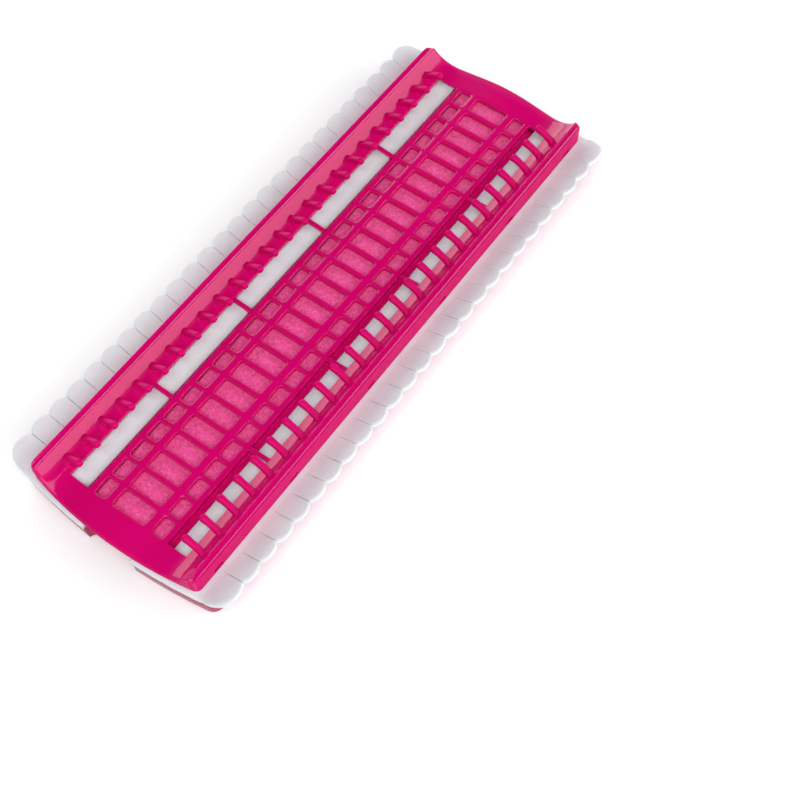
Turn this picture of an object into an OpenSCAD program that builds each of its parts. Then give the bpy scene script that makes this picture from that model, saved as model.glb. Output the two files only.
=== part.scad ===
// Embroidery floss board: a clip-on cover with two rows of tines, two scalloped
// foam strips, a needle cushion and a shallow base tray.
// X runs across the board, Y along it and Z up from the table.

/* [Rows] */
// Distance from one row of threads to the next
row_pitch = 12.7; // [12:0.1:13]
// Rows in one group between two cross ribs
group_rows = 5; // [5:1:5]
// Groups along the board
groups = 5; // [3:2:5]

/* [Overall] */
// Height of the rim above the table
board_h = 28; // [27:0.5:29]
// Half of the cover's width
cover_half_w = 52.6; // [52:0.1:53]
// Thickness of the moulded walls
wall = 1.8; // [1.6:0.1:2]
// How far the middle of each end bows out beyond its corners
cover_bow = 5.7; // [4:0.1:7]

/* [Cover] */
// Width of the flat rim on top of each rail
rim_w = 4.3; // [4:0.1:4.6]
// Radius of the hollow cove between the rim and the slots
cove_r = 21.1; // [21:0.1:21.5]
// Distance of the trough from the centre line
trough_x = 31; // [31:0.1:31.4]
// Height that the middle of the cover rises above the trough
crown_h = 1.2; // [0.8:0.1:1.6]
// Half of the raised needle panel's width
panel_half_w = 24.9; // [24.5:0.1:25]
// Depth of the needle panel's bars
panel_depth = 2.6; // [2.4:0.1:3]
// Distance of the slots' outer edge from the centre line
slot_outer_x = 37.2; // [36.8:0.1:37.6]
// Width of the ledge at the foot of the needle panel
ledge_w = 2.8; // [2.4:0.1:3]

/* [Windows] */
// Half width of the middle windows
mid_window_half_w = 10.1; // [9.5:0.1:10.5]
// Nearest edge of the side windows
side_window_x = 14.9; // [14.5:0.1:15.2]
// Width of the side windows
side_window_w = 6.7; // [6:0.1:7]
// Width of the bars between windows, and of the ribs between slots
bar_w = 2.5; // [2.2:0.1:2.8]

/* [Tines] */
// Thickness of a tine
tine_d = 4.2; // [3.8:0.1:4.4]
// Distance of the round tips' centres from the centre line
tine_tip_x = 34; // [33.4:0.1:34.4]
// How far the tips stand above the rim
tine_rise = 1.1; // [0.7:0.1:1.3]
// Radius of a tine's curl
curl_r = 25; // [23:0.5:27]

/* [Foam] */
// Thickness of the foam strips
foam_t = 3.8; // [3.4:0.1:4]
// Half of the foam's width, out to its lobes
foam_half_w = 70.2; // [69.5:0.1:71]
// Height that the free edge rises above the clamped part
wing_rise = 6.6; // [5:0.1:7]
// Radius of the side lobes
lobe_r = 9.6; // [9:0.1:11]
// Radius of the corner lobes
corner_lobe_r = 10.5; // [10:0.1:11]
// Width of a thread slit
slit_w = 0.6; // [0.5:0.1:0.8]
// Length of a thread slit
slit_len = 16; // [14:0.5:17]

/* [Base] */
// Half of the base tray's width
base_half_w = 61.5; // [61:0.1:62]
// Height of the shelf that carries the foam
shelf_z = 12.6; // [12.4:0.1:12.6]
// Thickness of the base's floor
floor_t = 2; // [1.6:0.1:2.4]
// Half width of the thumb notch in each end
notch_half_w = 15; // [14:0.5:16]
// Width of a snap hook
hook_w = 5; // [4:0.5:6]

/* [Hidden] */
$fn = 96;
magenta = [0.86, 0.01, 0.43];
dark_magenta = [0.70, 0.01, 0.35];
cushion_pink = [0.93, 0.26, 0.56];
foam_white = [0.90, 0.91, 0.93];
clearance = 0.3;
rows = group_rows * groups;
group_len = group_rows * row_pitch;
slot_half_len = rows * row_pitch / 2 - bar_w / 2;
window_len = row_pitch - bar_w;
panel_half_len = rows * row_pitch / 2 + 1.2;
end_margin = 14.8;
cover_apex_y = rows * row_pitch / 2 + end_margin;
cover_corner_r = 3;
base_corner_r = 6;
foam_apex_y = cover_apex_y + 1.2;
base_apex_y = cover_apex_y + 0.1;
end_bow_r = 329;
rim_inner_x = cover_half_w - rim_w;
foam_top_z = shelf_z + foam_t;
skirt_z = foam_top_z + 0.1;
cove_drop = sqrt(pow(cove_r, 2) - pow(rim_inner_x - trough_x, 2));
cove_axis_z = board_h - 0.4 + cove_drop;
trough_z = cove_axis_z - cove_r;
ledge_z = foam_top_z - 3.3;
ledge_t = 1.5;
panel_under_z = trough_z + 0.3 - panel_depth;
ledge_x = panel_half_w + ledge_w;
rib_under_z = foam_top_z + clearance;
foam_inner_x = ledge_x + clearance;
pressed_x = 35;
pressed_by = 1.8;
wing_x = cover_half_w + 0.9;
lobe_x = foam_half_w - lobe_r;
notch_x = lobe_x + sqrt(pow(lobe_r, 2) - pow(row_pitch / 2, 2));
corner_lobe_x = foam_half_w - corner_lobe_r;
corner_lobe_y = (rows - 1) * row_pitch / 2 + sqrt(pow(corner_lobe_r, 2) - pow(notch_x - corner_lobe_x, 2));
hook_x = cover_half_w - wall - clearance;
hook_t = 1.5;
hook_top_z = foam_top_z + 2.6;
barb_z = foam_top_z + 1.2;
hook_ys = [for (g = [1 : groups - 1]) (g - groups / 2) * group_len,
           (rows - 1) / 2 * row_pitch, (1 - rows) / 2 * row_pitch];
rib_ys = [for (g = [1 : groups - 1]) (g - groups / 2) * group_len];
rim_to_wall_z = board_h - wall;
far = 400;

// Radius of an end's bow from its half chord and its rise
function bow_radius(half, rise) = (pow(half, 2) + pow(rise, 2)) / (2 * rise);

// How far an end's bow has fallen back at a distance x from the centre line
function bow_drop(x) = end_bow_r - sqrt(pow(end_bow_r, 2) - pow(x, 2));

// Height of the cover's upper face at a distance x from the centre line
function crown_z(x) = trough_z + crown_h / 2 * (1 + cos(180 * x / trough_x));
function cove_z(x, r) = cove_axis_z - sqrt(pow(r, 2) - pow(x - trough_x, 2));

// Points of an arc from angle a to angle b, without its first point
function arc(centre, r, a, b, steps) = [
    for (k = [1 : steps]) let (t = a + (b - a) * k / steps) centre + r * [cos(t), sin(t)]
];

// A quarter of a plate's outline: half of its bowed end, then its round corner
function plate_quarter(half_w, apex_y, bow_r, corner_r, inset, steps = 16) =
    let (cx = half_w - corner_r,
         bow_y = apex_y - bow_r,
         cy = bow_y + sqrt(pow(bow_r - corner_r, 2) - pow(cx, 2)),
         tangent = atan2(cy - bow_y, cx))
    concat(
        [for (k = [0 : steps - 1]) let (t = 90 + (tangent - 90) * (k + 0.5) / steps)
            [0, bow_y] + (bow_r - inset) * [cos(t), sin(t)]],
        arc([cx, cy], corner_r - inset, tangent, 0, 6)
    );
function flipped(points, sx, sy) = [for (p = points) [sx * p.x, sy * p.y]];
function backwards(points) = [for (k = [len(points) - 1 : -1 : 0]) points[k]];

// Position of row number i along the board
function row_y(i) = (i - (rows - 1) / 2) * row_pitch;

// Upper face from the centre line to the rim, then its lower face back
function cove_end_x(z, r) = trough_x + sqrt(pow(r, 2) - pow(cove_axis_z - z, 2));
function upper_face() = [
    for (i = [0 : 12]) let (x = trough_x * i / 12) [x, crown_z(x)],
    for (i = [1 : 16]) let (x = trough_x + (rim_inner_x - trough_x) * i / 16) [x, cove_z(x, cove_r)],
    [rim_inner_x + 0.4, board_h], [cover_half_w, board_h]
];
function lower_face() = [
    [cover_half_w, rim_to_wall_z],
    for (i = [16 : -1 : 1])
        let (reach = cove_end_x(rim_to_wall_z, cove_r + wall) - trough_x)
        [trough_x + reach * i / 16, cove_z(trough_x + reach * i / 16, cove_r + wall)],
    for (i = [12 : -1 : 0]) let (x = trough_x * i / 12) [x, crown_z(x) - wall]
];

module both_sides() {
    children();
    mirror([1, 0, 0]) children();
}

module both_ends() {
    children();
    mirror([0, 1, 0]) children();
}

// Extrudes a drawing of the X-Z section along Y, over the middle len millimetres
module along_board(len) {
    translate([0, len / 2, 0]) rotate([90, 0, 0]) linear_extrude(len) children();
}

// A long plate whose two ends bow outwards and whose corners are round
module bowed_plate(half_w, apex_y, bow_r, corner_r, inset) {
    quarter = plate_quarter(half_w, apex_y, bow_r, corner_r, inset);
    polygon(concat(
        quarter, backwards(flipped(quarter, 1, -1)),
        flipped(quarter, -1, -1), backwards(flipped(quarter, -1, 1))
    ));
}

module cover_outline(inset = 0) {
    bowed_plate(cover_half_w, cover_apex_y, bow_radius(cover_half_w, cover_bow), cover_corner_r, inset);
}

module base_outline(inset = 0) {
    difference() {
        bowed_plate(base_half_w, base_apex_y, end_bow_r, base_corner_r, inset);
        thumb_notches(inset);
    }
}

// Flared recesses in both ends where a thumb reaches the cover's edge
module thumb_notches(grow = 0) {
    depth = 7;
    both_ends() polygon([
        [-notch_half_w - grow, cover_apex_y + 10], [notch_half_w + grow, cover_apex_y + 10],
        [notch_half_w + grow, cover_apex_y - 1], [notch_half_w - 4 + grow, cover_apex_y - depth - grow],
        [4 - notch_half_w - grow, cover_apex_y - depth - grow], [-notch_half_w - grow, cover_apex_y - 1]
    ]);
}

// Section of the curved cover: a thin sheet from rim to rim
module sheet_section() {
    both_sides() polygon(concat(upper_face(), lower_face()));
}

// Everything below the upper face, down to the foam
module filled_section() {
    both_sides() polygon(concat(upper_face(), [[cover_half_w, skirt_z], [0, skirt_z]]));
}

module slot_space() {
    both_sides() translate([panel_half_w, -slot_half_len, 0])
        cube([slot_outer_x - panel_half_w, 2 * slot_half_len, far]);
    translate([-panel_half_w - 1, -panel_half_len, 0])
        cube([2 * panel_half_w + 2, 2 * panel_half_len, far]);
}

// Openings in the rails' outer walls that the snap hooks catch in
module hook_windows() {
    for (y = hook_ys) both_sides()
        translate([cover_half_w - wall - 1, y - hook_w / 2 - 0.5, barb_z - 0.2])
            cube([wall + 2, hook_w + 1, 2]);
}

// The cover without its grid, ribs and tines
module cover_shell() {
    difference() {
        intersection() {
            linear_extrude(board_h) cover_outline();
            union() {
                along_board(far) sheet_section();
                difference() {
                    along_board(far) filled_section();
                    linear_extrude(far) cover_outline(wall);
                }
            }
        }
        slot_space();
        hook_windows();
    }
}

// Raised rail with its cove, outer wall and hook windows
module cover_rail_right() {
    color(magenta) intersection() {
        cover_shell();
        translate([slot_outer_x, -far / 2, 0]) cube(far);
    }
}

module cover_rail_left() {
    mirror([1, 0, 0]) cover_rail_right();
}

// Bowed end plate between the rails, with its skirt
module cover_end_far() {
    color(magenta) intersection() {
        cover_shell();
        translate([-slot_outer_x, slot_half_len, 0]) cube([2 * slot_outer_x, far, far]);
    }
}

module cover_end_near() {
    mirror([0, 1, 0]) cover_end_far();
}

// Ribs that fall from the coves' edges to the needle panel, clear of the foam
module cross_ribs() {
    color(magenta) for (y = rib_ys) both_sides() translate([0, y + bar_w / 2, 0])
        rotate([90, 0, 0]) linear_extrude(bar_w) polygon([
            [slot_outer_x, trough_z + 0.7], [slot_outer_x, trough_z - 0.9],
            [ledge_x + 0.9, rib_under_z], [ledge_x, rib_under_z], [ledge_x, ledge_z + ledge_t],
            [panel_half_w, ledge_z + ledge_t], [panel_half_w, trough_z - 0.3]
        ]);
}

module window(x, w, y) {
    translate([x, y - window_len / 2, 0]) cube([w, window_len, far]);
}

module needle_grid() {
    color(magenta) difference() {
        union() {
            along_board(2 * panel_half_len) both_sides() polygon(concat(
                [for (i = [0 : 8]) let (x = panel_half_w * i / 8) [x, crown_z(x)]],
                [[panel_half_w, panel_under_z], [0, panel_under_z]]));
            both_sides() translate([panel_half_w - wall, -slot_half_len, ledge_z])
                cube([wall, 2 * slot_half_len, trough_z - ledge_z]);
            both_sides() translate([panel_half_w - wall, -slot_half_len, ledge_z])
                cube([ledge_w + wall, 2 * slot_half_len, ledge_t]);
        }
        for (i = [0 : rows - 1]) {
            window(-mid_window_half_w, 2 * mid_window_half_w, row_y(i));
            window(side_window_x, side_window_w, row_y(i));
            window(-side_window_x - side_window_w, side_window_w, row_y(i));
        }
    }
}

// Side view of a tine: it leaves the cove and curls inwards to its round tip
module tine_side() {
    r = tine_d / 2;
    tip_angle = 74;
    root_angle = 40;
    tip = [tine_tip_x, board_h + tine_rise - r];
    curl_centre = tip - curl_r * [cos(tip_angle), sin(tip_angle)];
    translate(tip) circle(r);
    translate(curl_centre) intersection() {
        difference() {
            circle(curl_r + r, $fn = 180);
            circle(curl_r - r, $fn = 180);
        }
        polygon([[0, 0], far * [cos(root_angle), sin(root_angle)], far * [cos(tip_angle), sin(tip_angle)]]);
    }
}

// One side's tines, trimmed where they meet the cove's upper face
module tines() {
    difference() {
        for (i = [0 : rows - 1])
            translate([0, row_y(i) + tine_d / 2, 0]) rotate([90, 0, 0])
                linear_extrude(tine_d) tine_side();
        along_board(far) polygon(concat(upper_face(), [[cover_half_w, 0], [0, 0]]));
    }
}

module tines_right() {
    color(magenta) tines();
}

module tines_left() {
    color(magenta) mirror([1, 0, 0]) tines();
}

// Edge of a foam strip from the middle of the far end to the first notch
function foam_corner() = concat(
    [for (k = [0 : 8]) let (x = (corner_lobe_x - 3) * k / 8) [x, foam_apex_y - bow_drop(x)]],
    [[corner_lobe_x, corner_lobe_y + corner_lobe_r]],
    arc([corner_lobe_x, corner_lobe_y], corner_lobe_r, 90, -acos((notch_x - corner_lobe_x) / corner_lobe_r), 12)
);

module foam_outline() {
    lobe_angle = asin(row_pitch / 2 / lobe_r);
    corner = foam_corner();
    polygon(concat(
        corner,
        [for (i = [rows - 2 : -1 : 0])
            each arc([lobe_x, row_y(i) + row_pitch / 2], lobe_r, lobe_angle, -lobe_angle, 8)],
        [for (k = [len(corner) - 2 : -1 : 0]) [corner[k].x, -corner[k].y]]
    ));
}

// Section of a strip: flat where it is clamped, then rising to its free edge
module foam_section() {
    polygon([
        [0, shelf_z], [wing_x, shelf_z], [foam_half_w + 1, shelf_z + wing_rise],
        [foam_half_w + 1, foam_top_z + wing_rise], [wing_x, foam_top_z], [0, foam_top_z]
    ]);
}

module foam_strip() {
    color(foam_white) difference() {
        intersection() {
            linear_extrude(far) foam_outline();
            along_board(far) foam_section();
        }
        translate([-1, -panel_half_len - 1, 0]) cube([foam_inner_x + 1, 2 * panel_half_len + 2, far]);
        along_board(2 * panel_half_len + 2) polygon([
            [foam_inner_x, foam_top_z - pressed_by], [pressed_x, foam_top_z],
            [pressed_x, far], [0, far], [0, foam_top_z - pressed_by]
        ]);
        translate([-1, -far / 2, 0]) cube([notch_half_w + 1, far, far]);
        for (i = [0 : rows - 1])
            translate([foam_half_w + 1 - slit_len, row_y(i) - slit_w / 2, 0]) cube([slit_len, slit_w, far]);
        for (y = hook_ys)
            translate([hook_x - hook_t - 1, y - hook_w / 2 - 0.5, 0]) cube([hook_t + 2, hook_w + 1, far]);
    }
}

module foam_strip_right() {
    foam_strip();
}

module foam_strip_left() {
    mirror([1, 0, 0]) foam_strip();
}

module needle_cushion() {
    pad_half_w = panel_half_w - wall - 0.6;
    color(cushion_pink) translate([-pad_half_w, 0.6 - panel_half_len, floor_t])
        cube([2 * pad_half_w, 2 * panel_half_len - 1.2, panel_under_z - 0.2 - floor_t]);
}

// Upright wall along the board, with its foot on the floor
module long_wall(x, top_z) {
    translate([x, -panel_half_len - wall, 0]) cube([wall, 2 * (panel_half_len + wall), top_z]);
}

module base_tray() {
    rib_reach = base_half_w - wall - foam_inner_x;
    color(dark_magenta) {
        linear_extrude(floor_t) base_outline();
        difference() {
            linear_extrude(shelf_z) base_outline();
            translate([0, 0, -1]) linear_extrude(far) base_outline(wall);
        }
        both_sides() difference() {
            translate([base_half_w - wall, -corner_lobe_y + 2, 0])
                cube([wall, 2 * corner_lobe_y - 4, shelf_z + 2.4]);
            translate([wing_x, 0, shelf_z - 0.2]) rotate([0, -atan(wing_rise / (foam_half_w + 1 - wing_x)), 0])
                translate([0, -far / 2, 0]) cube([far, far, far]);
        }
        both_sides() long_wall(foam_inner_x, shelf_z);
        both_sides() long_wall(panel_half_w - wall, ledge_z - clearance);
        both_ends() translate([-foam_inner_x - 1, panel_half_len + 0.1, 0])
            cube([2 * foam_inner_x + 2, wall, shelf_z]);
        for (y = rib_ys) both_sides() translate([foam_inner_x + 1, y + hook_w, 0])
            cube([rib_reach, wall, shelf_z]);
    }
}

// One hook: a flat post on the floor with a barb that faces outwards
module snap_hook() {
    barb = 1.5;
    translate([0, hook_w / 2, 0]) rotate([90, 0, 0]) linear_extrude(hook_w) polygon([
        [hook_x - hook_t, floor_t], [hook_x, floor_t], [hook_x, barb_z], [hook_x + barb, barb_z],
        [hook_x + barb, barb_z + 0.4], [hook_x, hook_top_z], [hook_x - hook_t, hook_top_z]
    ]);
}

module snap_hooks() {
    color(dark_magenta) for (y = hook_ys) both_sides() translate([0, y, 0]) snap_hook();
}

cover_rail_left();
cover_rail_right();
cover_end_near();
cover_end_far();
cross_ribs();
needle_grid();
tines_left();
tines_right();
foam_strip_left();
foam_strip_right();
needle_cushion();
base_tray();
snap_hooks();
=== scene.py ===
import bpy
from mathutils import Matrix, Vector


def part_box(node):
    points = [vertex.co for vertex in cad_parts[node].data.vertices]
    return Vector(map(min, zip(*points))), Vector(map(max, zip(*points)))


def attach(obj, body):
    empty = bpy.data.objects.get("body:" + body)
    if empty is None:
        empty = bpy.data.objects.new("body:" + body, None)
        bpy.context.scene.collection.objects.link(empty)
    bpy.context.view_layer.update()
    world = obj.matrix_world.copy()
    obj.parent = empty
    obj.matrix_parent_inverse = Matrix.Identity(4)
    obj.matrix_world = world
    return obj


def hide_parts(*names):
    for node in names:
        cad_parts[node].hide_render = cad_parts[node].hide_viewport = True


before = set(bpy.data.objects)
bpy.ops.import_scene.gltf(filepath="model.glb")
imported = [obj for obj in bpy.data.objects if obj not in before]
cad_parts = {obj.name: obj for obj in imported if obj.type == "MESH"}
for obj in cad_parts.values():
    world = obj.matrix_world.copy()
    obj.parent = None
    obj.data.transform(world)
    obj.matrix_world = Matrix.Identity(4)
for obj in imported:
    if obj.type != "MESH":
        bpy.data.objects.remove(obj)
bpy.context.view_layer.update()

import math

import bpy
import numpy as np
from mathutils import Matrix, Quaternion, Vector

# Lengths are in millimetres and heights are above the table. Meshes are scaled to metres as they are made.
MM = 0.001


def cad_mm(node):
    """A CAD node's lowest and highest corners in millimetres."""
    low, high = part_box(node)
    return low / MM, high / MM


rail_low, rail_high = cad_mm("cover_rail_right")
grid_low, grid_high = cad_mm("needle_grid")
tine_low, tine_high = cad_mm("tines_right")
foam_low, foam_high = cad_mm("foam_strip_right")
cushion_low, cushion_high = cad_mm("needle_cushion")
base_high = cad_mm("base_tray")[1]

# Rows
ROWS = 25
TINE_D = 4.2
PITCH = (tine_high.y - tine_low.y - TINE_D) / (ROWS - 1)
GROUP = 5 * PITCH
ROWS_END = ROWS * PITCH / 2
ROW_YS = [(k - (ROWS - 1) / 2) * PITCH for k in range(ROWS)]
LAST_ROW_Y = ROW_YS[-1]
BAR = 2.5
WINDOW_HALF = (PITCH - BAR) / 2
CLEARANCE = 0.3

# Cover
RIM_Z = rail_high.z
COVER_X = rail_high.x
SKIRT_Z = rail_low.z
SLOT_OUT = rail_low.x
WALL = 1.8
COVER_APEX = ROWS_END + 14.8
COVER_BOW = 5.7
COVER_CORNER = 3.0
END_EDGE_R = 2.2
END_EDGE_FALL = 0.55

# The side walls lean outwards towards their foot, and are true to size at this height
WALL_LEAN = 0.25 / 5.8
UPRIGHT_Z = 22.2

# Rim: how far its top falls below its two fine ridges, at stops across it
RIM_IN = COVER_X - 4.3
RIM_STOPS = [RIM_IN + d for d in (0, 0.2, 0.45, 0.75, 1.05, 1.35, 1.7)] + [
    COVER_X - d for d in (1.75, 1.45, 1.15, 0.85, 0.55, 0)]
RIM_FALLS = [0.4, 0.1, 0, 0.06, 0.25, 0.4, 0.45, 0.45, 0.38, 0.2, 0.05, 0, 0]

# Cover's hollow beside the rim, and its crowned middle
COVE_R = 21.1
TROUGH_X = 31.0
COVE_Z = RIM_Z - RIM_FALLS[0] + math.sqrt(COVE_R**2 - (RIM_IN - TROUGH_X) ** 2)
TROUGH_Z = COVE_Z - COVE_R
CROWN = 1.2

# Needle grid: its edges, the ledges at its foot, and the windows with rounded bars between them
PANEL_X = 24.9
LEDGE_X = grid_high.x
LEDGE_Z = grid_low.z
LEDGE_T = 1.5
PANEL_UNDER = TROUGH_Z - 2.3
RIB_TOP_Z = TROUGH_Z - 0.3
WINDOW_MID = 10.1
WINDOW_SIDE = (14.9, 21.6)
CORNER_R_WINDOW = 1.3
CREST = 0.7
CREST_DROP = 0.4

# Tines
TINE_TIP_X = 34.0
TINE_CURL_R = 25.0
TINE_LEAN = math.radians(74)
TINE_ROOT = math.radians(47)

# Hooks, with their holes through the foam and their windows in the cover's sides
HOOK_YS = [(g - 2.5) * GROUP for g in range(1, 5)] + [-LAST_ROW_Y, LAST_ROW_Y]
HOOK_HALF = 3.0
HOOK_HOLE_X = (48, 51.5)
HOOK_WINDOW_Z = (SKIRT_Z + 0.9, SKIRT_Z + 3)

# Foam
FOAM_T = 3.8
FOAM_Z = foam_low.z
FOAM_X = foam_high.x
FOAM_RISE = foam_high.z - FOAM_T - FOAM_Z
FOAM_IN = LEDGE_X + CLEARANCE
FOAM_APEX = COVER_APEX + 1.2
FOAM_EDGE_R = 1.3
END_BOW_R = 329.0
PRESSED_X = 35.0
PRESSED_BY = 1.8
RISE_X = 53.0
RISE_SOFT = 3.0
RISE_SLOPE = 1.04 * FOAM_RISE / (FOAM_X + 0.5 - RISE_X)

# Foam scallops, slits and corners
LOBE_R = 9.6
LOBE_X = FOAM_X - LOBE_R
LOBE_LIFT = 0.22
SCALLOPS_MEET_X = LOBE_X + math.sqrt(LOBE_R**2 - (PITCH / 2) ** 2)
SLIT_X = FOAM_X - 15
SLIT_TAPER = 4.0
SLIT_EDGE_R = 0.4
HALF_SLIT = 0.12
CORNER_R = 10.5
CORNER_X = FOAM_X - CORNER_R
CORNER_Y = LAST_ROW_Y + math.sqrt(CORNER_R**2 - (SCALLOPS_MEET_X - CORNER_X) ** 2)
CORNER_START = -math.degrees(math.acos((SCALLOPS_MEET_X - CORNER_X) / CORNER_R))
CORNER_MEET = 45.0
# the bowed end turns into the corner's arc over this length
BEND = 3.0

# Thumb notch in both ends
NOTCH_X = 15.0
NOTCH_DEPTH = 7.0
NOTCH_FLARE = 4.0

# Foam grid lines: over the base, as shares of the way out to a scallop's edge, and in from that edge
HELD_X = [FOAM_IN, FOAM_IN + 0.5, 32, 40, 46, HOOK_HOLE_X[0], 49.8, HOOK_HOLE_X[1], 53, SLIT_X]
OUTWARD = [0.06, 0.13, 0.22, 0.34, 0.5, 0.66, 0.82]
EDGE_INSETS = [0, 0.12, 0.4, 0.8, 1.4, 2.2]

# Base
BASE_X = base_high.x
BASE_APEX = COVER_APEX + 0.1
FLOOR_T = 2.0

# Edges that turn by more than this are rounded
SOFTENED_ANGLE = math.radians(38)


# ---------------------------------------------------------------- mesh helpers


def new_piece(name, verts, faces, material, body):
    """A smooth-shaded mesh object from points in millimetres, riding on a body."""
    mesh = bpy.data.meshes.new(name)
    mesh.from_pydata([tuple(c * MM for c in v) for v in verts], [], faces)
    mesh.validate()
    mesh.polygons.foreach_set("use_smooth", [True] * len(mesh.polygons))
    mesh.update()
    piece = bpy.data.objects.new(name, mesh)
    bpy.context.scene.collection.objects.link(piece)
    mesh.materials.append(material)
    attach(piece, body)
    return piece


def soften(piece, width, segments=3):
    """Rounds the piece's sharp edges."""
    bevel = piece.modifiers.new("rounded_edges", "BEVEL")
    bevel.width = width * MM
    bevel.segments = segments
    bevel.limit_method = "ANGLE"
    bevel.angle_limit = SOFTENED_ANGLE
    bevel.harden_normals = True
    bevel.use_clamp_overlap = False
    return piece


def subtract(interval, others):
    """The parts of one height interval that no other covers. Ends are (z at one corner, z at the other)."""
    parts = [interval]
    for low, high in others:
        left = []
        for a, b in parts:
            if sum(low) > sum(a) + 1e-6:
                left.append((a, min(b, low, key=sum)))
            if sum(high) < sum(b) - 1e-6:
                left.append((max(a, high, key=sum), b))
        parts = [(a, b) for a, b in left if sum(b) > sum(a) + 1e-6]
    return parts


def cell_solid(xs, ys, spans, place):
    """Closed mesh of a plan grid whose cells are filled over height intervals.

    spans(i, j) gives a cell's list of (lowest, highest) functions of x.
    place moves a point to its final spot.
    """
    filled = {}
    for i in range(len(xs) - 1):
        for j in range(len(ys) - 1):
            filled[i, j] = [
                [(round(low(xs[k]), 4), round(high(xs[k]), 4)) for k in (i, i + 1)]
                for low, high in spans(i, j)
            ]
    levels = {}
    for (i, j), parts in filled.items():
        for part in parts:
            for k in (0, 1):
                for n in (0, 1):
                    levels.setdefault((i + k, j + n), set()).update(part[k])
    verts, index, faces = [], {}, []

    def vertex(i, j, z):
        key = (i, j, z)
        if key not in index:
            index[key] = len(verts)
            verts.append(place(xs[i], ys[j], z))
        return index[key]

    def face(points):
        ids = [vertex(*p) for p in points]
        ids = [a for a, b in zip(ids, ids[1:] + ids[:1]) if a != b]
        if len(ids) > 2:
            faces.append(ids)

    def column(i, j, low, high):
        """Points up a vertical line, with every level that another face ends at."""
        between = [z for z in sorted(levels[i, j]) if low < z < high]
        return [(i, j, z) for z in [low] + between + [high]]

    for (i, j), parts in filled.items():
        for (low0, high0), (low1, high1) in parts:
            face([(i, j, high0), (i + 1, j, high1), (i + 1, j + 1, high1), (i, j + 1, high0)])
            face([(i, j, low0), (i, j + 1, low0), (i + 1, j + 1, low1), (i + 1, j, low1)])
        # the four sides, each as (neighbour, near corner, far corner), walked so that faces point outwards
        for side, a, b in (
            ((i, j - 1), (i, j), (i + 1, j)),
            ((i + 1, j), (i + 1, j), (i + 1, j + 1)),
            ((i, j + 1), (i + 1, j + 1), (i, j + 1)),
            ((i - 1, j), (i, j + 1), (i, j)),
        ):
            ka, kb = a[0] - i, b[0] - i
            own = [((p[ka][0], p[kb][0]), (p[ka][1], p[kb][1])) for p in parts]
            if side[0] == i:
                other = [((p[ka][0], p[kb][0]), (p[ka][1], p[kb][1])) for p in filled.get(side, [])]
            else:
                k = 0 if side[0] > i else 1
                other = [((p[k][0],) * 2, (p[k][1],) * 2) for p in filled.get(side, [])]
            for part in own:
                for low, high in subtract(part, other):
                    right = column(*b, low[1], high[1])
                    left = column(*a, low[0], high[0])
                    face(right + left[::-1])
    return verts, faces


def thick_plate(cells, top, bottom):
    """Closed mesh of plan quadrilaterals that are welded where their corners meet, between two heights."""
    index, plan, quads = {}, [], []
    for quad in cells:
        ids = []
        for x, y in quad:
            key = (round(x, 3), round(y, 3))
            if key not in index:
                index[key] = len(plan)
                plan.append(key)
            if index[key] not in ids:
                ids.append(index[key])
        if len(ids) > 2:
            quads.append(ids)
    count = len(plan)
    plan = np.array(plan)
    verts = np.vstack([np.c_[plan, top(plan)], np.c_[plan, bottom(plan)]])
    faces = list(quads) + [[v + count for v in q[::-1]] for q in quads]
    edges = {}
    for q in quads:
        for a, b in zip(q, q[1:] + q[:1]):
            edges[a, b] = True
    for a, b in edges:
        if (b, a) not in edges:
            faces.append([b, a, a + count, b + count])
    return verts.tolist(), faces


def ring_loft(rings):
    """Closed mesh through rings of equal length, capped at both ends."""
    n = len(rings[0])
    verts = [p for ring in rings for p in ring]
    faces = [
        [r * n + k, r * n + (k + 1) % n, (r + 1) * n + (k + 1) % n, (r + 1) * n + k]
        for r in range(len(rings) - 1)
        for k in range(n)
    ]
    faces.append(list(range(n))[::-1])
    faces.append([(len(rings) - 1) * n + k for k in range(n)])
    return verts, faces


def arc(cx, cy, r, start, end, steps):
    """Points of an arc from start to end in degrees, both included."""
    return [
        (cx + r * math.cos(math.radians(start + (end - start) * k / steps)),
         cy + r * math.sin(math.radians(start + (end - start) * k / steps)))
        for k in range(steps + 1)
    ]


def lines(*stops):
    """Sorted grid lines, without repeats."""
    return sorted({round(s, 4) for s in stops})


def mirrored(stops):
    """Grid lines at the stops and at their mirror images."""
    return lines(*stops, *[-s for s in stops])


def off_row(y):
    """Distance along the board from the middle of the nearest row."""
    return abs((y + PITCH / 2) % PITCH - PITCH / 2)


# ---------------------------------------------------------------- camera, floor and light


def make_camera():
    """The photographer's view, with a slight roll."""
    data = bpy.data.cameras.new("camera")
    data.lens = 58.05
    data.sensor_width = 36
    camera = bpy.data.objects.new("camera", data)
    bpy.context.scene.collection.objects.link(camera)
    place = Vector((0.25886, -0.28259, 0.58668))
    target = Vector((0.0727, -0.03424, 0.028))
    roll = math.radians(-1.2)
    turn = (target - place).to_track_quat("-Z", "Y") @ Quaternion((0, 0, 1), roll)
    camera.matrix_world = Matrix.Translation(place) @ turn.to_matrix().to_4x4()
    bpy.context.scene.camera = camera


def area_light(name, place, size, power):
    """A rectangular softbox that faces the board."""
    data = bpy.data.lights.new(name, "AREA")
    data.shape = "RECTANGLE"
    data.size, data.size_y = size
    data.energy = power
    light = bpy.data.objects.new(name, data)
    bpy.context.scene.collection.objects.link(light)
    place = Vector(place)
    turn = (-place).to_track_quat("-Z", "Y")
    light.matrix_world = Matrix.Translation(place) @ turn.to_matrix().to_4x4()


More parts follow.
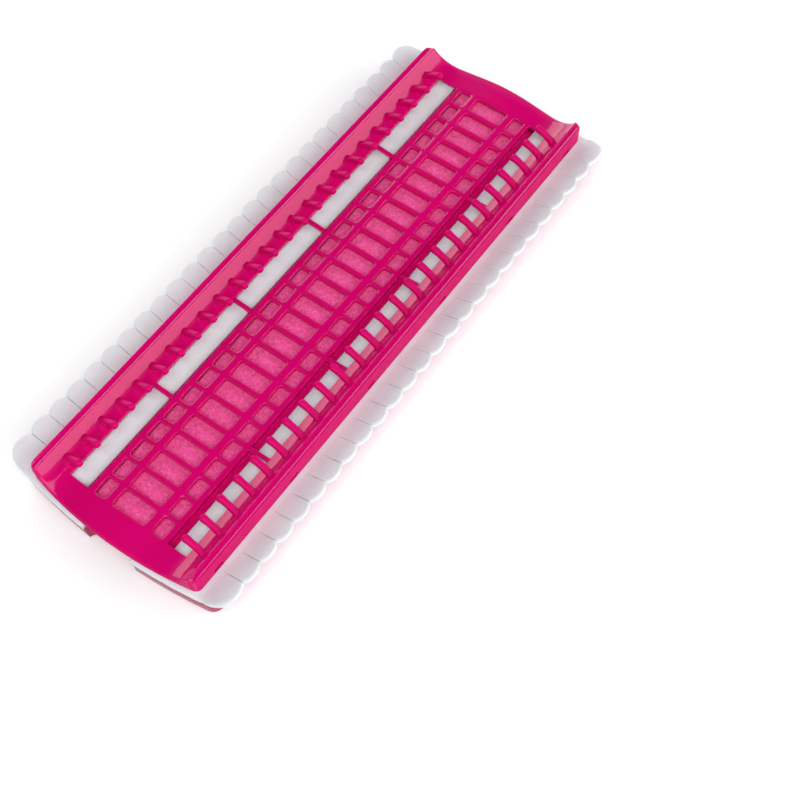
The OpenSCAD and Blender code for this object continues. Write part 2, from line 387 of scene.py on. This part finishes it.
def make_studio():
    """White paper floor, a softbox in front and on both sides, and dim surroundings."""
    scene = bpy.context.scene
    scene.view_settings.view_transform = "Standard"
    world = bpy.data.worlds.new("studio")
    world.use_nodes = True
    tree = world.node_tree
    direction = tree.nodes.new("ShaderNodeTexCoord").outputs["Generated"]
    split = tree.nodes.new("ShaderNodeSeparateXYZ")
    ramp = tree.nodes.new("ShaderNodeValToRGB")
    tree.links.new(direction, split.inputs["Vector"])
    tree.links.new(split.outputs["Z"], ramp.inputs["Fac"])
    tree.links.new(ramp.outputs["Color"], tree.nodes["Background"].inputs["Color"])
    tree.nodes["Background"].inputs["Strength"].default_value = 0.5
    # pale walls up to about 40 degrees above the horizon, under a dark ceiling
    low, high = ramp.color_ramp.elements
    low.position, low.color = 0.58, (0.97, 0.985, 1, 1)
    high.position, high.color = 0.76, (0.05, 0.05, 0.055, 1)
    scene.world = world
    area_light("softbox_front", (0.4, -0.6, 1.15), (1.2, 1.2), 14)
    area_light("softbox_left", (-1.05, 0.5, 0.42), (1.4, 0.75), 8.5)
    area_light("softbox_right", (1.05, 0.5, 0.45), (1.4, 0.9), 9.8)

    half = 3.0
    mesh = bpy.data.meshes.new("floor")
    corners = [(-half, -half, 0), (half, -half, 0), (half, half, 0), (-half, half, 0)]
    mesh.from_pydata(corners, [], [(0, 1, 2, 3)])
    floor = bpy.data.objects.new("floor", mesh)
    scene.collection.objects.link(floor)
    material = bpy.data.materials.new("floor_paper")
    material.use_nodes = True
    shader = material.node_tree.nodes["Principled BSDF"]
    shader.inputs["Base Color"].default_value = (0.97, 0.97, 0.97, 1)
    shader.inputs["Roughness"].default_value = 0.9
    shader.inputs["Emission Color"].default_value = (1, 1, 1, 1)
    shader.inputs["Emission Strength"].default_value = 0.1
    mesh.materials.append(material)


# ---------------------------------------------------------------- materials


class Nodes:
    """Short calls for building a material's nodes."""

    def __init__(self, name):
        self.material = bpy.data.materials.new(name)
        self.material.use_nodes = True
        self.tree = self.material.node_tree
        self.shader = self.tree.nodes["Principled BSDF"]
        self.point = self.tree.nodes.new("ShaderNodeTexCoord").outputs["Object"]

    def set(self, **values):
        for name, value in values.items():
            self.shader.inputs[name.replace("_", " ")].default_value = value

    def noise(self, scale, detail, rough=0.5, stretch=None):
        node = self.tree.nodes.new("ShaderNodeTexNoise")
        node.inputs["Scale"].default_value = scale
        node.inputs["Detail"].default_value = detail
        node.inputs["Roughness"].default_value = rough
        self.tree.links.new(self.stretched(stretch) if stretch else self.point, node.inputs["Vector"])
        return node.outputs["Fac"]

    def voronoi(self, scale):
        node = self.tree.nodes.new("ShaderNodeTexVoronoi")
        node.inputs["Scale"].default_value = scale
        self.tree.links.new(self.point, node.inputs["Vector"])
        return node.outputs["Distance"]

    def stretched(self, stretch):
        node = self.tree.nodes.new("ShaderNodeMapping")
        node.inputs["Scale"].default_value = stretch
        self.tree.links.new(self.point, node.inputs["Vector"])
        return node.outputs["Vector"]

    def ramp(self, factor, stops):
        node = self.tree.nodes.new("ShaderNodeValToRGB")
        elements = node.color_ramp.elements
        while len(elements) < len(stops):
            elements.new(0.5)
        for element, (place, colour) in zip(elements, stops):
            element.position = place
            element.color = (*colour, 1)
        self.tree.links.new(factor, node.inputs["Fac"])
        return node.outputs["Color"]

    def span(self, factor, low, high):
        """Spreads the middle of a noise's range over low to high."""
        node = self.tree.nodes.new("ShaderNodeMapRange")
        for name, value in (("From Min", 0.3), ("From Max", 0.7), ("To Min", low), ("To Max", high)):
            node.inputs[name].default_value = value
        self.tree.links.new(factor, node.inputs["Value"])
        return node.outputs["Result"]

    def mix(self, factor, a, b):
        node = self.tree.nodes.new("ShaderNodeMix")
        node.data_type = "RGBA"
        node.inputs["Factor"].default_value = factor
        self.tree.links.new(a, node.inputs["A"])
        self.tree.links.new(b, node.inputs["B"])
        return node.outputs["Result"]

    def add(self, a, b, weight):
        """a plus weight times b."""
        node = self.tree.nodes.new("ShaderNodeMath")
        node.operation = "MULTIPLY_ADD"
        node.inputs[1].default_value = weight
        self.tree.links.new(b, node.inputs[0])
        self.tree.links.new(a, node.inputs[2])
        return node.outputs["Value"]

    def link(self, output, name):
        self.tree.links.new(output, self.shader.inputs[name])

    def bump(self, height, distance):
        node = self.tree.nodes.new("ShaderNodeBump")
        node.inputs["Distance"].default_value = distance
        node.inputs["Strength"].default_value = 1
        self.tree.links.new(height, node.inputs["Height"])
        self.tree.links.new(node.outputs["Normal"], self.shader.inputs["Normal"])


def moulded_plastic(name, deep, bright, roughness, specular=0.32):
    """Injection-moulded plastic: faint flow marks, a slightly uneven gloss and an orange-peel ripple."""
    made = Nodes(name)
    made.set(Specular_IOR_Level=specular)
    flow = made.noise(9, 2, stretch=(3, 1, 3))
    cloud = made.noise(60, 3)
    made.link(made.ramp(made.add(flow, cloud, 0.35), [(0.35, deep), (0.95, bright)]), "Base Color")
    made.link(made.span(made.noise(180, 4), roughness - 0.03, roughness + 0.05), "Roughness")
    made.bump(made.add(made.noise(45, 2), made.noise(900, 2), 0.03), 0.00012)
    return made.material


def white_foam_material():
    """Closed-cell foam sheet: off-white, matt, with a fine skin texture and faint dents."""
    made = Nodes("white_foam")
    made.set(Roughness=0.88, Specular_IOR_Level=0.25, Sheen_Weight=0.1, Sheen_Roughness=0.6)
    cells = made.voronoi(1500)
    cloud = made.noise(70, 4)
    shade = made.ramp(cloud, [(0.3, (0.675, 0.705, 0.735)), (0.7, (0.745, 0.775, 0.8))])
    skin = made.ramp(cells, [(0.0, (0.56, 0.57, 0.61)), (0.5, (0.82, 0.825, 0.84))])
    made.link(made.mix(0.12, shade, skin), "Base Color")
    made.bump(made.add(cells, cloud, 1.5), 0.00008)
    return made.material


def sponge_material():
    """Open-cell sponge: mottled pink with pale skin flecks, and its pores painted darker as shade in the
    holes.
    """
    made = Nodes("pink_sponge")
    made.set(Roughness=0.95, Specular_IOR_Level=0.2, Sheen_Weight=0.3)
    pores = made.voronoi(900)
    fleck = made.noise(650, 5, 0.7)
    body = made.ramp(
        fleck, [(0.36, (0.66, 0.012, 0.18)), (0.5, (0.88, 0.055, 0.29)), (0.66, (0.98, 0.17, 0.42))]
    )
    # painted shade: the pores are coloured darker to stand in for the shade inside the holes
    pore_shade = made.ramp(pores, [(0.05, (0.55, 0.01, 0.16)), (0.45, (0.93, 0.12, 0.38))])
    made.link(made.mix(0.35, body, pore_shade), "Base Color")
    made.bump(made.add(pores, fleck, 1.2), 0.0003)
    return made.material


# ---------------------------------------------------------------- cover


def crown_z(x):
    """Height of the needle grid's gently crowned top."""
    return TROUGH_Z + CROWN / 2 * (1 + math.cos(math.pi * x / TROUGH_X))


def cove_z(x, r=COVE_R):
    """Height of the hollow between the slots and the rim."""
    return COVE_Z - math.sqrt(r**2 - (x - TROUGH_X) ** 2)


def upper_z(x):
    """Height of the cover's upper face, with a fine ridge along each edge of the rim."""
    x = abs(x)
    if x <= TROUGH_X:
        return crown_z(x)
    if x <= RIM_IN:
        return cove_z(x)
    return RIM_Z - float(np.interp(x, RIM_STOPS, RIM_FALLS))


def lower_z(x):
    """Height of the cover's lower face."""
    x = abs(x)
    if x <= TROUGH_X:
        return crown_z(x) - WALL
    return min(RIM_Z - WALL, cove_z(min(x, COVER_X - 2), COVE_R + WALL))


def cover_end_y(x):
    """Where the cover ends at a distance x from its centre line."""
    x = abs(x)
    bow_r = (COVER_X**2 + COVER_BOW**2) / (2 * COVER_BOW)
    y = COVER_APEX - bow_r + math.sqrt(bow_r**2 - x**2)
    into_corner = x - (COVER_X - COVER_CORNER)
    if into_corner > 0:
        y -= COVER_CORNER - math.sqrt(max(0, COVER_CORNER**2 - into_corner**2))
    return y


def make_cover(material, side_material):
    """The whole cover moulding but its tines: rails with coves, end plates, ribs, ledges and needle grid."""
    wall_in = COVER_X - 1.75
    xs = mirrored(
        [0, 3.4, 6.8, WINDOW_MID - CORNER_R_WINDOW, WINDOW_MID, WINDOW_MID + CREST, 12.5,
         WINDOW_SIDE[0] - CREST, WINDOW_SIDE[0], WINDOW_SIDE[0] + CORNER_R_WINDOW,
         WINDOW_SIDE[1] - CORNER_R_WINDOW, WINDOW_SIDE[1], WINDOW_SIDE[1] + CREST,
         PANEL_X - WALL, PANEL_X, LEDGE_X, TROUGH_X, 34.1,
         SLOT_OUT, 38.6, 40, 41.3, 42.6, 43.8, 45, 46.1, 47.2, *RIM_STOPS]
    )
    flat_end = ROWS_END + BAR / 2
    end_wall = COVER_APEX - WALL

    def beside_bars(off):
        """Lines on both sides of every bar between two rows, and of the two end bars."""
        return [(k - ROWS / 2) * PITCH + s * off for k in range(ROWS + 1) for s in (-1, 1)]

    row_edges = beside_bars(BAR / 2)
    crests = beside_bars(BAR / 2 - CREST)
    corner_starts = beside_bars(BAR / 2 + CORNER_R_WINDOW)
    hook_edges = [y + s * HOOK_HALF for y in HOOK_YS for s in (-1, 1)]
    ends = [flat_end, flat_end + 3.5, flat_end + 7.5, end_wall]
    ends += [COVER_APEX - 1.1, COVER_APEX - 0.5, COVER_APEX]
    ys = lines(*row_edges, *crests, *corner_starts[1:-1], *hook_edges, *ends, *[-e for e in ends])

    def inside(value, low, high):
        return low < value < high

    def spans(i, j):
        x, y = abs(xs[i] + xs[i + 1]) / 2, abs(ys[j] + ys[j + 1]) / 2
        at_row = off_row(y) < WINDOW_HALF and y < ROWS_END
        at_rib = abs(y % GROUP - GROUP / 2) < BAR / 2
        in_slots = y < ROWS_END - BAR / 2
        if y > end_wall:
            return [(lambda _: SKIRT_Z, upper_z)]
        if x > wall_in:
            if any(abs(y - abs(h)) < HOOK_HALF for h in HOOK_YS):
                sill, lintel = HOOK_WINDOW_Z
                return [(lambda _: SKIRT_Z, lambda _: sill), (lambda _: lintel, upper_z)]
            return [(lambda _: SKIRT_Z, upper_z)]
        if x > SLOT_OUT or not in_slots and x > PANEL_X:
            return [(lower_z, upper_z)]
        if x > PANEL_X:
            if at_rib:
                under = FOAM_Z + FOAM_T + CLEARANCE
                lean = (TROUGH_Z - 0.9 - under) / (SLOT_OUT - LEDGE_X)
                low_rib = lambda v: under + lean * (abs(v) - LEDGE_X) if x > LEDGE_X else LEDGE_Z
                climb = (upper_z(SLOT_OUT) - RIB_TOP_Z) / (SLOT_OUT - PANEL_X)
                return [(low_rib, lambda v: RIB_TOP_Z + climb * (abs(v) - PANEL_X))]
            if x < LEDGE_X:
                return [(lambda _: LEDGE_Z, lambda _: LEDGE_Z + LEDGE_T)]
            return []
        if in_slots and x > PANEL_X - WALL:
            return [(lambda _: LEDGE_Z, upper_z)]
        if at_row and (x < WINDOW_MID or inside(x, *WINDOW_SIDE)):
            return []
        if y < flat_end:
            return [(lambda _: PANEL_UNDER, upper_z)]
        return [(lower_z, upper_z)]

    def place(x, y, z):
        """Rounds the windows and the end edge, bows the ends and leans the side walls."""
        near = 0.01
        across = {WINDOW_MID: -1, WINDOW_SIDE[0]: 1, WINDOW_SIDE[1]: -1}.get(abs(x))
        on_top = abs(z - upper_z(x)) < near
        in_rows = abs(y) < ROWS_END
        at_window = abs(x) < WINDOW_MID + near or inside(abs(x), WINDOW_SIDE[0] - near, WINDOW_SIDE[1] + near)
        if on_top and in_rows and at_window and off_row(y) < WINDOW_HALF + near:
            z -= CREST_DROP
        if across and in_rows and abs(off_row(y) - WINDOW_HALF) < near:
            into = CORNER_R_WINDOW * (1 - math.sqrt(0.5))
            x += across * math.copysign(into, x)
            y += into if (y + PITCH / 2) % PITCH < PITCH / 2 else -into
        if abs(y) > flat_end:
            end = cover_end_y(x)
            if abs(y) >= end_wall:
                from_end = max(0, COVER_APEX - abs(y))
                if on_top:
                    into_edge = max(0, END_EDGE_R - from_end)
                    z -= END_EDGE_FALL * (END_EDGE_R - math.sqrt(END_EDGE_R**2 - into_edge**2))
                y = math.copysign(end - from_end, y)
            else:
                share = (abs(y) - flat_end) / (end_wall - flat_end)
                y = math.copysign(flat_end + share * (end - WALL - flat_end), y)
        if abs(x) > wall_in - near:
            x += math.copysign(WALL_LEAN * (UPRIGHT_Z - z), x)
        return x, y, z

    verts, faces = cell_solid(xs, ys, spans, place)
    cover = new_piece("cover_moulding", verts, faces, material, "cover")
    cover.data.materials.append(side_material)
    for polygon in cover.data.polygons:
        centre, facing = polygon.center / MM, polygon.normal
        on_side = abs(facing.x) > 0.8 and abs(centre.x) > COVER_X - 0.6
        on_end = abs(facing.y) > 0.8 and abs(centre.y) > cover_end_y(centre.x) - 0.5
        polygon.material_index = int(on_side or on_end)
    soften(cover, 0.4)
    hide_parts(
        "cover_rail_left", "cover_rail_right", "cover_end_near", "cover_end_far",
        "cross_ribs", "needle_grid",
    )
    return cover


def make_tines(name, side, material):
    """One row of tines: tapered, curled bars that flare into the cove and end in a round bulb."""
    tip = Vector((TINE_TIP_X, 0, tine_high.z - TINE_D / 2))
    centre = tip - TINE_CURL_R * Vector((math.cos(TINE_LEAN), 0, math.sin(TINE_LEAN)))
    body_r = TINE_D / 2 - 0.1
    bulb_r = TINE_D / 2
    path = []
    for k in range(15):
        share = k / 14
        a = TINE_ROOT + (TINE_LEAN - TINE_ROOT) * share
        radius = body_r + 0.75 * max(0, 1 - share / 0.22) ** 2 - 0.12 * math.sin(math.pi * share)
        radius += (bulb_r - body_r) * max(0, share - 0.75) / 0.25
        spot = centre + TINE_CURL_R * Vector((math.cos(a), 0, math.sin(a)))
        path.append((spot, Vector((-math.sin(a), 0, math.cos(a))), radius))
    spot, ahead, _ = path[-1]
    for k in range(1, 6):
        a = math.radians(18 * k)
        path.append((spot + ahead * bulb_r * math.sin(a), ahead, max(0.05, bulb_r * math.cos(a))))
    around = 20
    verts, faces = [], []

    def squared(value):
        """Makes the round section a soft square."""
        return math.copysign(abs(value) ** 0.75, value)

    for y0 in ROW_YS:
        first = len(verts)
        for spot, ahead, radius in path:
            out = Vector((ahead.z, 0, -ahead.x))
            for k in range(around):
                a = 2 * math.pi * k / around
                p = spot + out * radius * squared(math.cos(a))
                verts.append((side * p.x, y0 + radius * squared(math.sin(a)), p.z))
        rings = [list(range(first + r * around, first + (r + 1) * around)) for r in range(len(path))]
        for low, high in zip(rings, rings[1:]):
            for k in range(around):
                n = (k + 1) % around
                quad = [low[k], low[n], high[n], high[k]]
                faces.append(quad if side > 0 else quad[::-1])
        faces.append(rings[0][::-1] if side > 0 else rings[0])
        faces.append(rings[-1] if side > 0 else rings[-1][::-1])
    tines = new_piece(name + "_curled", verts, faces, material, "cover")
    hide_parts(name)
    return tines


# ---------------------------------------------------------------- foam strips


def foam_end_y(x):
    """Where the strip's bowed end lies at a distance x from the board's centre line."""
    return FOAM_APEX - END_BOW_R + math.sqrt(END_BOW_R**2 - x**2)


def slit_gap(x):
    """Half a slit's width, which opens over the first few millimetres from its root."""
    return HALF_SLIT * min(1, max(0, (x - SLIT_X) / SLIT_TAPER))


def corner_point(degrees):
    a = math.radians(degrees)
    return np.array([CORNER_X + CORNER_R * math.cos(a), CORNER_Y + CORNER_R * math.sin(a)])


def scallop_grid(y0):
    """Plan grid of the scallop that starts at the slit at y0."""
    across = lines(*[v / PITCH for v in EDGE_INSETS], *[1 - v / PITCH for v in EDGE_INSETS],
                   0.5 - HOOK_HALF / PITCH, 0.5 + HOOK_HALF / PITCH, 0.35, 0.42, 0.5, 0.58, 0.65,
                   1 - HOOK_HALF / PITCH)
    reach = [LOBE_X + math.sqrt(LOBE_R**2 - ((u - 0.5) * (PITCH - 2 * HALF_SLIT)) ** 2) for u in across]
    rows = [[x] * len(across) for x in HELD_X]
    rows += [[SLIT_X + (far - EDGE_INSETS[-1] - SLIT_X) * share for far in reach] for share in OUTWARD]
    rows += [[far - inset for far in reach] for inset in EDGE_INSETS[::-1]]
    return [
        [(x, y0 + slit_gap(x) + (PITCH - 2 * slit_gap(x)) * u) for x, u in zip(row, across)] for row in rows
    ]


def corner_grids():
    """Plan grids past the last slit: the held part, the round corner and the tongue by the thumb notch."""
    span_y = foam_end_y(SLIT_X) - LAST_ROW_Y
    tongue_start = (ROWS_END + 2.2 - LAST_ROW_Y) / (foam_end_y(FOAM_IN) - LAST_ROW_Y)
    q_stops = lines(*[v / span_y for v in EDGE_INSETS], *[1 - v / span_y for v in EDGE_INSETS],
                    HOOK_HALF / span_y, 0.3, tongue_start, 0.55, 0.68, 0.8)
    p_stops = lines(*OUTWARD, 0, *[1 - v / 13.0 for v in EDGE_INSETS])
    tongue_x = [NOTCH_X + d for d in (0, 0.12, 0.4, 0.8, 1.4)] + [19, 22.5, FOAM_IN]

    def towards_end(x, q):
        return x, LAST_ROW_Y + (foam_end_y(x) - LAST_ROW_Y) * q

    def end_edge(p):
        """The strip's end from the slits' root line to where it meets the corner's arc."""
        bend = CORNER_X - BEND
        lead = bend - SLIT_X
        turn_len = math.radians(90 - CORNER_MEET) * CORNER_R + BEND
        walked = p * (lead + turn_len)
        if walked < lead:
            return np.array([SLIT_X + walked, foam_end_y(SLIT_X + walked)])
        on_arc = corner_point(90 - (90 - CORNER_MEET) * (walked - lead) / turn_len)
        start = np.array([bend, foam_end_y(bend)])
        blend_in = min(1, (walked - lead) / BEND)
        return start * (1 - blend_in) + on_arc * blend_in

    def slit_edge(p):
        x = SLIT_X + (SCALLOPS_MEET_X - 0.1 - SLIT_X) * p
        return np.array([x, LAST_ROW_Y + slit_gap(x)])

    def arc_edge(q):
        on_arc = corner_point(CORNER_START + (CORNER_MEET - CORNER_START) * q)
        return on_arc + (slit_edge(1) - corner_point(CORNER_START)) * (1 - q)

    def root_edge(q):
        return np.array([SLIT_X, LAST_ROW_Y + span_y * q])

    def corner_patch(p, q):
        """A point of the patch between four edges: slit, end, root line and arc."""
        point = (
            (1 - q) * slit_edge(p) + q * end_edge(p) + (1 - p) * root_edge(q) + p * arc_edge(q)
            - (1 - p) * (1 - q) * root_edge(0) - p * (1 - q) * slit_edge(1)
            - (1 - p) * q * root_edge(1) - p * q * corner_point(CORNER_MEET)
        )
        return float(point[0]), float(point[1])

    return [
        [[towards_end(x, q) for q in q_stops] for x in HELD_X],
        [[corner_patch(p, q) for q in q_stops] for p in p_stops],
        [[towards_end(x, q) for q in q_stops if q >= tongue_start - 1e-6] for x in tongue_x],
    ]


def foam_cells():
    """The right strip's plan as quadrilaterals, without the holes for the hooks."""

    def cells_of(grid):
        return [
            [low[k], high[k], high[k + 1], low[k + 1]]
            for low, high in zip(grid, grid[1:])
            for k in range(len(low) - 1)
        ]

    def at_hook(quad):
        x = sum(p[0] for p in quad) / 4
        y = sum(p[1] for p in quad) / 4
        return HOOK_HOLE_X[0] < x < HOOK_HOLE_X[1] and any(abs(y - h) < HOOK_HALF for h in HOOK_YS)

    cells = [quad for y0 in ROW_YS[:-1] for quad in cells_of(scallop_grid(y0))]
    far_corner = [quad for grid in corner_grids() for quad in cells_of(grid)]
    near_corner = [[(x, -y) for x, y in quad[::-1]] for quad in far_corner]
    return [quad for quad in cells + far_corner + near_corner if not at_hook(quad)]


def foam_outline():
    """Points all along the right strip's free edge."""
    outline = arc(CORNER_X, CORNER_Y, CORNER_R, CORNER_START, 90, 60)
    outline += [(x, foam_end_y(x)) for x in np.linspace(CORNER_X - BEND, NOTCH_X, 60)]
    outline += [(NOTCH_X, y) for y in np.linspace(foam_end_y(NOTCH_X), ROWS_END + 4, 20)]
    outline += [(x, -y) for x, y in outline]
    half_turn = math.degrees(math.asin(PITCH / 2 / LOBE_R))
    for y0 in ROW_YS[:-1]:
        outline += arc(LOBE_X, y0 + PITCH / 2, LOBE_R, -half_turn, half_turn, 40)
    return np.array(outline)


def foam_rise(x):
    """How far the strip has sprung up at x, after a soft start."""
    past = np.clip(x - RISE_X, 0, None)
    return RISE_SLOPE * np.where(past < RISE_SOFT, past**2 / (2 * RISE_SOFT), past - RISE_SOFT / 2)


def foam_rounding(plan, outline):
    """How far each point falls below the flat face, near the free edge and near the slits."""
    nearest = np.min(np.hypot(*(plan[:, None, :] - outline[None, :, :]).transpose(2, 0, 1)), axis=1)
    near = np.clip(FOAM_EDGE_R - nearest, 0, FOAM_EDGE_R)
    edge_fall = FOAM_EDGE_R - np.sqrt(FOAM_EDGE_R**2 - near**2)
    x, y = plan[:, 0], np.abs(plan[:, 1])
    opened = np.clip((x - SLIT_X) / SLIT_TAPER, 0, 1)
    near = np.clip(SLIT_EDGE_R - (off_row(y) - HALF_SLIT * opened), 0, SLIT_EDGE_R)
    slit_fall = (SLIT_EDGE_R - np.sqrt(SLIT_EDGE_R**2 - near**2)) * opened * (y < LAST_ROW_Y + 0.4 * PITCH)
    return np.maximum(edge_fall, slit_fall)


def foam_pressed(plan):
    """How far the needle grid's foot has squeezed the strip's inner edge down."""
    across = np.clip((PRESSED_X - plan[:, 0]) / (PRESSED_X - FOAM_IN), 0, 1)
    return PRESSED_BY * across * np.clip(ROWS_END + 1 - np.abs(plan[:, 1]), 0, 1)


def make_foam(name, side, material):
    """A strip of foam: flat where it is held, rising to a scalloped edge, with a slit for each thread."""
    lift = np.random.default_rng(7 if side > 0 else 8).uniform(-LOBE_LIFT, LOBE_LIFT, ROWS + 1)
    outline = foam_outline()

    def wave(plan):
        """Each lobe springs up a little more or less than its neighbours."""
        number = np.clip(np.floor(plan[:, 1] / PITCH + ROWS / 2 + 0.5), 0, ROWS).astype(int)
        return lift[number] * np.clip((plan[:, 0] - SLIT_X) / 10, 0, 1.2) ** 2

    def top(plan):
        sprung = foam_rise(plan[:, 0]) + wave(plan)
        return FOAM_Z + FOAM_T + sprung - foam_pressed(plan) - foam_rounding(plan, outline)

    def bottom(plan):
        return FOAM_Z + foam_rise(plan[:, 0]) + wave(plan) + foam_rounding(plan, outline)

    verts, faces = thick_plate(foam_cells(), top, bottom)
    if side < 0:
        verts = [(-x, y, z) for x, y, z in verts]
        faces = [f[::-1] for f in faces]
    foam = new_piece(name + "_scalloped", verts, faces, material, "base")
    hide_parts(name)
    return foam


# ---------------------------------------------------------------- cushion and base


def make_cushion(material):
    """The sponge pad: its top swells a little into every window of the grid, and its edge is worn round."""
    step = 0.95
    grain_size = 0.09
    swell_by = 0.55
    edge_r = 1.5
    half_x, half_y = cushion_high.x, cushion_high.y
    top_z, under_z = cushion_high.z, cushion_low.z
    xs = np.linspace(-half_x, half_x, int(2 * half_x / step))
    ys = np.linspace(-half_y, half_y, int(2 * half_y / step))
    grain = np.random.default_rng(3)
    rough = grain.normal(0, grain_size, (len(xs), len(ys)))

    def swell(x, y):
        along = max(0, 1 - (off_row(y) / WINDOW_HALF) ** 2)
        x = abs(x)
        across = max(0, 1 - (x / WINDOW_MID) ** 2)
        middle, half = sum(WINDOW_SIDE) / 2, (WINDOW_SIDE[1] - WINDOW_SIDE[0]) / 2
        across = max(across, 1 - ((x - middle) / half) ** 2)
        edge = min(1, (half_x - x) / edge_r, (half_y - abs(y)) / edge_r)
        return swell_by * along * max(0, across) - 0.8 * edge_r * (1 - max(0, edge)) ** 2

    verts, faces = [], []
    nx, ny = len(xs), len(ys)
    for i, x in enumerate(xs):
        for j, y in enumerate(ys):
            verts.append((x, y, top_z - CLEARANCE + swell(x, y) + rough[i, j]))
    for i in range(nx - 1):
        for j in range(ny - 1):
            a = i * ny + j
            faces.append([a, a + ny, a + ny + 1, a + 1])
    rim = [i * ny for i in range(nx)] + [(nx - 1) * ny + j for j in range(1, ny)]
    rim += [i * ny + ny - 1 for i in range(nx - 2, -1, -1)] + list(range(ny - 2, 0, -1))
    first = len(verts)
    verts += [(verts[v][0], verts[v][1], under_z) for v in rim]
    for k in range(len(rim)):
        n = (k + 1) % len(rim)
        faces.append([rim[n], rim[k], first + k, first + n])
    faces.append([first + k for k in range(len(rim))][::-1])
    pad = new_piece("needle_cushion_pad", verts, faces, material, "base")
    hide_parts("needle_cushion")
    return pad


def base_outline(inset):
    """The base's plan outline: bowed ends with a flared thumb notch, round corners and straight sides."""
    corner_r = 6.0
    cx = BASE_X - corner_r
    bow_y = BASE_APEX - END_BOW_R
    cy = bow_y + math.sqrt((END_BOW_R - corner_r) ** 2 - cx**2)
    tangent = math.degrees(math.atan2(cy - bow_y, cx))
    mouth, waist, depth = NOTCH_X + inset, NOTCH_X - NOTCH_FLARE + inset, COVER_APEX - NOTCH_DEPTH - inset
    quarter = [(0, depth), (waist * 0.5, depth)]
    quarter += [
        (waist + (mouth - waist) * s, depth + (COVER_APEX - 1 - depth) * s) for s in (0, 0.05, 0.35, 0.65, 1)
    ]
    start = math.degrees(math.acos(mouth / (END_BOW_R - inset)))
    quarter += arc(0, bow_y, END_BOW_R - inset, start, tangent, 12)
    quarter += arc(cx, cy, corner_r - inset, tangent, 0, 8)[1:]
    quarter += [(BASE_X - inset, cy * s) for s in (0.98, 0.9, 0.6, 0.3)]
    right = quarter + [(x, -y) for x, y in quarter[::-1]]
    left = [(-x, y) for x, y in right[::-1]]
    return right + left[1:-1]


def make_base(material):
    """The base tray's shell, and the walls inside it that carry the foam and hold the cushion."""
    shelf = FOAM_Z

    def ring(inset, z, tall=0.0):
        points = []
        for x, y in base_outline(inset):
            lift = tall if abs(x) > BASE_X - 2.5 and abs(y) < LAST_ROW_Y else 0
            points.append((x, y, z + lift))
        return points

    # rings from the foot's round edge, up the outside, over the rim and down to the floor
    extra = base_high.z - shelf - 0.2
    rings = [
        ring(1.4, 0), ring(0.9, 0.08), ring(0.35, 0.45), ring(0.05, 1.1), ring(0, 1.8),
        ring(0, shelf - 0.5, extra), ring(0.15, shelf - 0.15, extra), ring(0.5, shelf, extra),
        ring(WALL - 0.5, shelf, extra), ring(WALL - 0.15, shelf - 0.15, extra),
        ring(WALL, shelf - 0.5, extra), ring(WALL, FLOOR_T + 0.6), ring(WALL + 0.5, FLOOR_T),
    ]
    verts, faces = ring_loft(rings)
    shell = new_piece("base_shell", verts, [f[::-1] for f in faces], material, "base")
    walls_half_y = ROWS_END + 1.2
    xs = mirrored([PANEL_X - WALL, PANEL_X, FOAM_IN, FOAM_IN + WALL, BASE_X - WALL])
    ribs = [(g - 2.5) * GROUP + 5 for g in range(1, 5)]
    ys = lines(*mirrored([walls_half_y, walls_half_y + WALL]), *ribs, *[y + WALL for y in ribs])

    def spans(i, j):
        x, y = abs(xs[i] + xs[i + 1]) / 2, (ys[j] + ys[j + 1]) / 2
        floor = lambda _: FLOOR_T - 0.1
        if abs(y) > walls_half_y:
            return [(floor, lambda _: shelf)] if x < FOAM_IN + WALL else []
        if PANEL_X - WALL < x < PANEL_X:
            return [(floor, lambda _: LEDGE_Z - CLEARANCE)]
        if FOAM_IN < x < FOAM_IN + WALL or x > FOAM_IN and any(0 < y - r < WALL for r in ribs):
            return [(floor, lambda _: shelf)]
        return []

    verts, faces = cell_solid(xs, ys, spans, lambda x, y, z: (x, y, z))
    inner = new_piece("base_inner_walls", verts, faces, material, "base")
    soften(inner, 0.4, 2)
    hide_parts("base_tray")
    return shell


def dress_hooks(material):
    """The hooks keep their CAD mesh, with the cover's plastic and slightly round edges."""
    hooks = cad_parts["snap_hooks"]
    hooks.data.materials.clear()
    hooks.data.materials.append(material)
    soften(hooks, 0.25, 2)


# ---------------------------------------------------------------- build

make_camera()
make_studio()
COVER_DEEP, COVER_BRIGHT = (0.56, 0.0004, 0.115), (0.64, 0.001, 0.145)
cover_plastic = moulded_plastic("cover_plastic", COVER_DEEP, COVER_BRIGHT, 0.08)
# painted shade: the base and its inner walls are coloured much darker than the cover to stand in for the
# shade they sit in under the foam strips
base_plastic = moulded_plastic("base_plastic", (0.30, 0.0004, 0.055), (0.38, 0.001, 0.075), 0.15)
foam_white = white_foam_material()
make_cover(cover_plastic, moulded_plastic("cover_plastic_satin", COVER_DEEP, COVER_BRIGHT, 0.42, 0.06))
tine_plastic = moulded_plastic("tine_plastic", COVER_DEEP, COVER_BRIGHT, 0.3, 0.07)
make_tines("tines_left", -1, tine_plastic)
make_tines("tines_right", 1, tine_plastic)
make_foam("foam_strip_left", -1, foam_white)
make_foam("foam_strip_right", 1, foam_white)
make_cushion(sponge_material())
make_base(base_plastic)
dress_hooks(cover_plastic)
